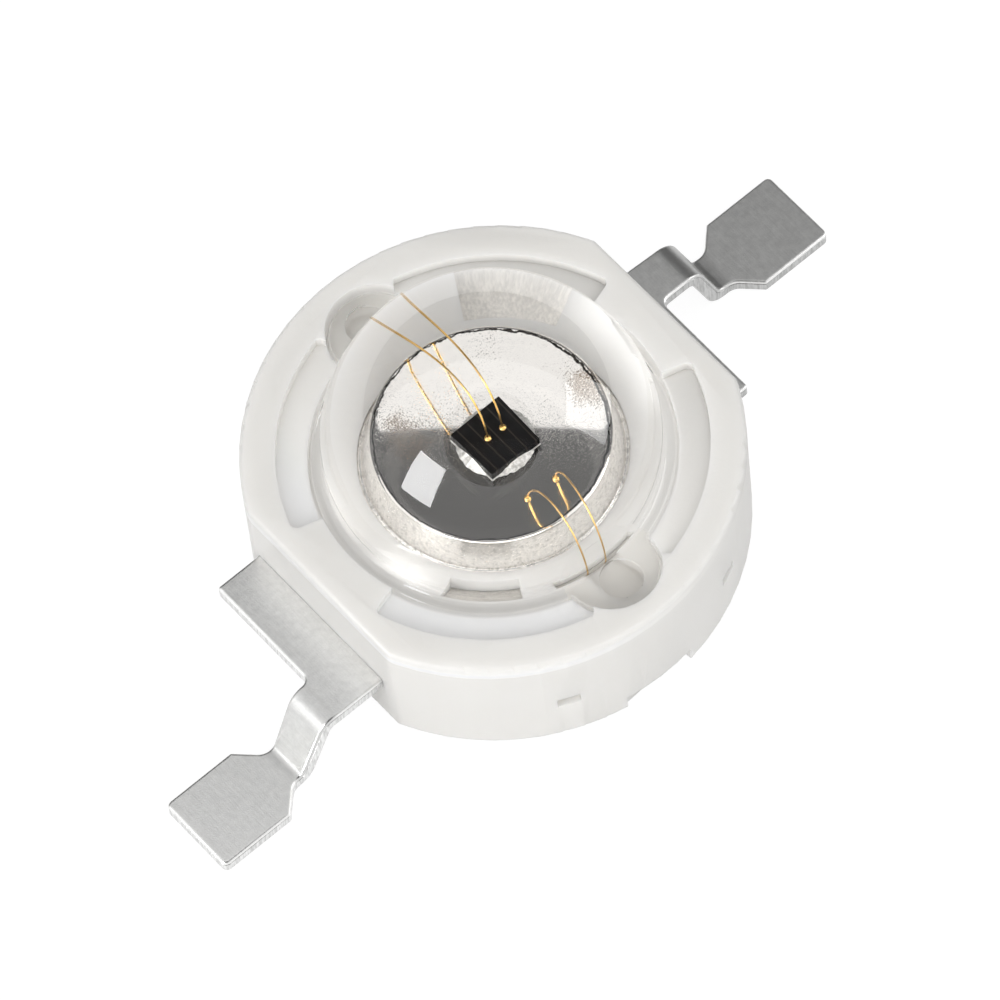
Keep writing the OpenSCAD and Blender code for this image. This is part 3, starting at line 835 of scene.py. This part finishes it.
# %% Die attach
attach_cols = 360
attach_r, attach_waver = 0.438, 0.008
attach_climb = 0.09
angle = np.linspace(0, 2 * np.pi, attach_cols, endpoint=False)
square = chip_w / 2 / np.maximum(np.abs(np.cos(angle)), np.abs(np.sin(angle)))
rng = np.random.default_rng(11)
wave = sum(np.cos(k * angle + rng.uniform(0, 6.28)) * rng.uniform(0.3, 1) for k in range(2, 40)) / 6
attach_out = np.maximum(attach_r + attach_waver * wave, square + 0.006)
attach_rise = attach_climb * np.clip((attach_out - square) / attach_climb, 0, 1)
steps = np.linspace(0, 1, 10)[1:, None]
flat = np.zeros((3, attach_cols))
inward = attach_out + (square - 0.01 - attach_out) * steps
attach_radius = np.concatenate([flat[:1], attach_out[None] * 0.6, attach_out[None], inward,
                                square[None] * 0.5, flat[:1]])
attach_height = slug_top + np.concatenate([flat, 0.003 + attach_rise * steps ** 1.3, flat[:2] + 0.018])
attach_points, attach_faces = lathe(attach_radius, attach_height, attach_cols)
attach_points[:, 0] += chip_mid[0]
piece("die_attach_fillet", attach_points, attach_faces, [epoxy], "silver_epoxy", "die_attach", 60)

# %% [markdown]
# ## Bond wires
# Four gold wires of 26 micrometres join the chip and the slug to the fingers. A bonder pulls each from a
# ball, up into a loop and down to a flat stitch. One cubic curve in an upright plane has that shape with four
# points. Tube, ball and stitch are joined as one piece.

# %% Bond wires
wire_d = 0.026
wire_rows, wire_cols = 90, 14
ball_r = 0.042
ball_sink = 0.02
bond_r = 2.22
ball_profile = np.array([(0, 0), (0.6, 0), (0.9, 0.003), (1, 0.010), (1, 0.018), (0.92, 0.027), (0.75, 0.033),
                         (0.5, 0.038), (0.33, 0.046), (0, 0.05)])
stitch_profile = np.array([(0, 0), (0.7, 0), (0.75, 0.004), (0.5, 0.010), (0.3, 0.018), (0, 0.02)])


def wire(name, x, y, surface, angle, loop):
    """A drawn wire with a ball on its first bond and a stitch on its last. A point of the tube is
    centre + radius (cos a side + sin a lift)."""
    start = np.array([x, y, surface + ball_sink])
    angle = math.radians(angle)
    end = np.array([bond_r * math.cos(angle), bond_r * math.sin(angle), finger_top + wire_d / 2])
    reach = np.append(end[:2] - start[:2], 0)
    first = start + loop[0] * reach + [0, 0, loop[1]]
    second = start + loop[2] * reach + [0, 0, loop[3]]
    t = np.linspace(0, 1, wire_rows)[:, None]
    u = 1 - t
    centre = u ** 3 * start + 3 * t * u ** 2 * first + 3 * t ** 2 * u * second + t ** 3 * end
    along = np.gradient(centre, axis=0)
    along /= np.linalg.norm(along, axis=1, keepdims=True)
    side = np.cross([0, 0, 1], reach / np.linalg.norm(reach))
    lift = np.cross(side, along)
    turn = np.linspace(0, 2 * np.pi, wire_cols, endpoint=False)[None, :, None]
    tube = centre[:, None] + wire_d / 2 * (np.cos(turn) * side + np.sin(turn) * lift[:, None])
    ends = [list(range(wire_cols))[::-1], list(range((wire_rows - 1) * wire_cols, wire_rows * wire_cols))]
    points, faces = tube.reshape(-1, 3), grid_faces(wire_rows, wire_cols).tolist() + ends
    for outline, foot, cols in ((ball_profile, start - [0, 0, ball_sink], 32),
                                (stitch_profile, end - [0, 0, wire_d / 2], 24)):
        more, more_faces = lathe(outline[:, :1] * ball_r, outline[:, 1:], cols)
        faces += [[i + len(points) for i in f] for f in more_faces]
        points = np.concatenate([points, more + foot])
    piece(name + "_drawn", points, faces, [gold], "gold_wire", name, 50)


chip_loop = (0.05, 1.06, 0.46, 0.86)
slug_loop = (0.14, 0.78, 0.86, 0.94)
wire("chip_wire_1", -0.03, 0.03, chip_top, 86, chip_loop)
wire("chip_wire_2", 0.18, 0.02, chip_top, 76, chip_loop)
wire("slug_wire_1", -0.16, -0.81, slug_top, -95, slug_loop)
wire("slug_wire_2", 0.25, -0.82, slug_top, -87, slug_loop)

# %% [markdown]
# ## Housing
# The body's shape is the solid's own, with its pockets, wells and notches. Its mesh is coarse along the
# circles, which would show as corners in the outline. So the chords inside are cut into short ones, upright
# planes through the axis cut the outer wall, and one array product moves each new point out to the circle
# that it belongs to. A bevel softens the edges: wide on the recesses, as their edges are in the photograph,
# and narrow elsewhere.

# %% Housing
rim_r, recess_r, recess_in, well_r, bond_well_in, moat_r = 0.08, 3.43, 3.30, 2.30, 1.90, 1.40
chord_r = 3.6
wall_r, wall_x, wall_planes = 3.85, 3.575, 90
sharp_edge = 55
soft_w, narrow_share = 0.09, 0.4
housing_mesh = join_points("housing")
bmesh.ops.dissolve_limit(housing_mesh, angle_limit=math.radians(1), verts=housing_mesh.verts,
                         edges=housing_mesh.edges)


def sagitta(edge):
    """How many millimetres an edge's middle lies inside the circle through its ends. 0 if it is no chord."""
    a, b = edge.verts[0].co / MM, edge.verts[1].co / MM
    level = abs(a.z - b.z) < 0.001 and abs(a.xy.length - b.xy.length) < 0.001
    return a.xy.length - ((a + b) / 2).xy.length if level else 0


chords = [edge for edge in housing_mesh.edges
          if 0.002 < sagitta(edge) < 0.08 and edge.verts[0].co.xy.length < chord_r * MM]
bmesh.ops.subdivide_edges(housing_mesh, edges=chords, cuts=5, use_grid_fill=True)
for angle in np.linspace(0, np.pi, wall_planes, endpoint=False):
    wall = [face for face in housing_mesh.faces if min(v.co.xy.length for v in face.verts) > wall_r * MM
            and max(abs(v.co.x) for v in face.verts) < wall_x * MM]
    parts = {part for face in wall for part in (*face.edges, *face.verts)}
    bmesh.ops.bisect_plane(housing_mesh, geom=list(parts) + wall, dist=0.002 * MM,
                           plane_co=(0, 0, 0), plane_no=(-math.sin(angle), math.cos(angle), 0))
housing_mesh.normal_update()
weight = housing_mesh.edges.layers.float.new("bevel_weight_edge")
for edge in housing_mesh.edges:
    if len(edge.link_faces) == 2 and edge.calc_face_angle() > math.radians(sharp_edge):
        middle = (edge.verts[0].co + edge.verts[1].co) / 2 / MM
        from_side = min(body_r - middle.xy.length, flat_x - abs(middle.x))
        on_recess = middle.z > body_top - 0.25 and middle.xy.length > recess_in and from_side > 0.05
        edge[weight] = 1.0 if on_recess else narrow_share
housing = from_bmesh("housing_moulding", housing_mesh)
spots = numbers(housing.data.vertices, "co") / MM
radius = np.hypot(spots[:, 0], spots[:, 1])
into_rim = np.maximum(np.maximum(spots[:, 2] - body_top, low("housing")[2] - spots[:, 2]) + rim_r, 0)
outside = body_r - rim_r + np.sqrt(np.maximum(rim_r ** 2 - into_rim ** 2, 0))
grow = np.ones(len(spots))
for wanted in (recess_r, pocket_r, well_r, bond_well_in, moat_r):
    grow = np.where((radius < wanted) & (radius > wanted * 0.995), wanted / radius, grow)
on_wall = (radius < outside) & (radius > outside * 0.98) & (np.abs(spots[:, 0]) < wall_x - 0.015)
grow = np.where(on_wall, outside / radius, grow)
spots[:, :2] *= grow[:, None]
settle(housing, spots)
housing.data.materials.append(moulding)
housing.data.shade_smooth()
soft = housing.modifiers.new("soft edges", "BEVEL")
soft.width = soft_w * MM
soft.segments = 3
soft.limit_method = "WEIGHT"
soft.harden_normals = True
dress(housing, "housing")

# %% [markdown]
# ## Floor
# The photograph has a plain white ground without a shadow. A white floor lit hard enough would light the
# object from below, so the floor glows white for the camera and for mirrors only. For the light that falls on
# the object it is a pale grey.

# %% Floor
span, floor_z = 600, -0.01


def seen_rays(tree):
    """Which rays see the ground: 1 for those from the camera, and 1 for those from a mirror or a clear part
    that have met nothing matt."""
    path = tree.light_path()
    mirror = tree.math("MAXIMUM", path["Is Glossy Ray"], path["Is Transmission Ray"])
    return path["Is Camera Ray"], mirror * (1 - tree.math("MINIMUM", path["Diffuse Depth"], 1.0))


def paper_shader(tree):
    """Pale grey where it lights the object, and white with a glow where it is seen."""
    camera_ray, mirror_ray = seen_rays(tree)
    matt = tree.node("BsdfDiffuse", {"Color": colour(0.66, 0.66, 0.66)})
    pale = tree.node("BsdfDiffuse", {"Color": colour(0.14, 0.14, 0.14)})
    lit = tree.node("AddShader", {0: pale, 1: tree.node("Emission", {"Strength": 0.93})})
    return tree.node("MixShader", {0: camera_ray + mirror_ray, 1: matt, 2: lit})


floor_corners = [(x, y, floor_z) for x, y in ((-span, -span), (span, -span), (span, span), (-span, span))]
floor = from_points("floor", floor_corners, [(0, 1, 2, 3)], [shaded("paper", paper_shader)])
print("floor", 2 * span, "mm wide")

# %% [markdown]
# ## World
# A white room: even white for the camera and in mirrors, and a dimmer sky that grows towards the top as fill
# light on matt surfaces.

# %% World
world = bpy.data.worlds.new("studio")
bpy.context.scene.world = world
tree = Tree(world)
camera_ray, mirror_ray = seen_rays(tree)
sky_level, horizon_level = 0.80, 0.30
height = tree.split(tree.node("TexCoord", out="Generated"))[2]
fill = horizon_level + height * (sky_level - horizon_level)
level = camera_ray + (1 - camera_ray) * (mirror_ray + (1 - mirror_ray) * fill)
sky = tree.node("Background", {"Color": colour(1, 1, 1), "Strength": level})
tree.node("OutputWorld", {"Surface": sky})
print("sky from", horizon_level, "to", sky_level)

# %% [markdown]
# ## Dark card
# Half of the slug is black in the photograph: it mirrors something dark behind the product. One even card
# does that, level and high up. Only mirrors and clear things see it, so it takes no light away. Its direction
# and the slope up to its near edge set where the line between light and dark falls on the slug.

# %% Dark card
def dark_card(name, corners, level):
    """A card of an even brightness. Only mirrors and clear things see it."""
    glow = shaded(name, lambda tree: tree.node("Emission", {"Strength": level}))
    made = from_points(name, corners, [list(range(len(corners)))], [glow])
    for ray in ("camera", "diffuse", "shadow", "volume_scatter"):
        setattr(made, "visible_" + ray, False)
    return made


def face_dome(made, ray, distance):
    """Puts a card or a lamp so many millimetres from the dome along a ray, turned to face the dome."""
    made.location = (ray * distance + Vector((0, 0, dome_z))) * MM
    made.rotation_mode = "QUATERNION"
    made.rotation_quaternion = ray.to_track_quat("Z", "Y")


card_height, card_slope = 45, 0.475
card_azimuth = math.radians(48)
card_near, card_far, card_half = card_slope * card_height, 3000, 2000
ahead = np.array([math.cos(card_azimuth), math.sin(card_azimuth), 0])
beside = np.array([-math.sin(card_azimuth), math.cos(card_azimuth), 0])
lifted = np.array([0, 0, card_height + dome_z])
card = dark_card("dark_card", [lifted + ahead * a + beside * b for a, b in (
    (card_near, -card_half), (card_near, card_half), (card_far, card_half), (card_far, -card_half))], 0.09)

# %% [markdown]
# ## Dark card round the camera
# The top of a dome mirrors the camera and what is round it. In a white room the chip, seen through the dome,
# would look grey. A second card takes the place of the dark camera, and the chip stays black.

# %% Dark card round the camera
camera_card_r, camera_card_away = 62, 100
ring = [(camera_card_r * math.cos(t), camera_card_r * math.sin(t), 0)
        for t in np.linspace(0, 2 * math.pi, 64, endpoint=False)]
lens_card = dark_card("camera_card", ring, 0.03)
face_dome(lens_card, back, camera_card_away)

# %% [markdown]
# ## Softboxes
# The dome and the slug show two lamps, one at each side. Each is seen twice, on the dome and in the slug,
# which gives its direction and size. What a lamp looks like in a mirror and how much it lights the plastic
# are set apart, with one lamp for mirrors and one for matt surfaces in the same place. A third lamp lights
# the front.

# %% Softboxes
def softbox(name, azimuth, elevation, wide, tall, radiance, distance=80, diffuse=True, glossy=True):
    """An area lamp at a direction seen from the dome, with the angles that it spans and its brightness."""
    azimuth, elevation, wide, tall = (math.radians(angle) for angle in (azimuth, elevation, wide, tall))
    ray = Vector((math.cos(azimuth) * math.cos(elevation), math.sin(azimuth) * math.cos(elevation),
                  math.sin(elevation)))
    lamp = bpy.data.lights.new(name, "AREA")
    lamp.shape = "RECTANGLE"
    lamp.size, lamp.size_y = (2 * distance * math.tan(angle / 2) * MM for angle in (wide, tall))
    lamp.energy = math.pi * lamp.size * lamp.size_y * radiance
    holder = add(name, lamp)
    face_dome(holder, ray, distance)
    holder.visible_camera = False
    holder.visible_diffuse = diffuse
    holder.visible_glossy = glossy
    print("lamp:", name)


for name, place_and_size, mirrored, lighting in (("softbox_left", (182.5, 21.5, 21, 29), 11.3, 4.5),
                                                 ("softbox_right", (-33.5, 21, 31, 34), 3.2, 1.6)):
    softbox(name, *place_and_size, mirrored, diffuse=False)
    softbox(name + "_light", *place_and_size, lighting, glossy=False)
softbox("front_light", -125, 35, 60, 50, 1.3, glossy=False)

# %% [markdown]
# ## Light that the dome gathers
# A dome is a burning glass: it gathers each lamp into a bright crescent on the floor of the pocket, on the
# opposite side. A path tracer hardly finds such light. A small spot lamp from above draws it, through a mask
# worked out from the ray's direction.

# %% Light that the dome gathers
gather_height, gather_floor = 60, 2.0
gather = bpy.data.lights.new("gathered_light", "SPOT")
gather.spot_size = math.radians(8)
gather.shadow_soft_size = 0.2 * MM
gather.energy = 0.11
tree = Tree(gather)
x, y, z = tree.split(tree.node("TexCoord", out="Normal"))
drop = gather_height - gather_floor
x, y = x / z * -drop, y / z * -drop
radius = away(x, y)
level = 0
for azimuth, half, start, share in ((5, 22, 1.69, 1.0), (153, 13, 1.76, 0.7), (191, 9, 1.62, 0.7)):
    azimuth = math.radians(azimuth)
    cosine = (x * math.cos(azimuth) + y * math.sin(azimuth)) / radius
    wide = cosine.smooth(math.cos(math.radians(half + 6)), math.cos(math.radians(half - 10)))
    level = level + wide * radius.band(start - 0.06, start + 0.08, 2.1, 2.3) * share
tree.node("OutputLight", {"Surface": tree.node("Emission", {"Strength": level})})
holder = add("gathered_light", gather)
holder.location = (0, 0, gather_height * MM)
print("gathered light from", gather_height, "mm up")
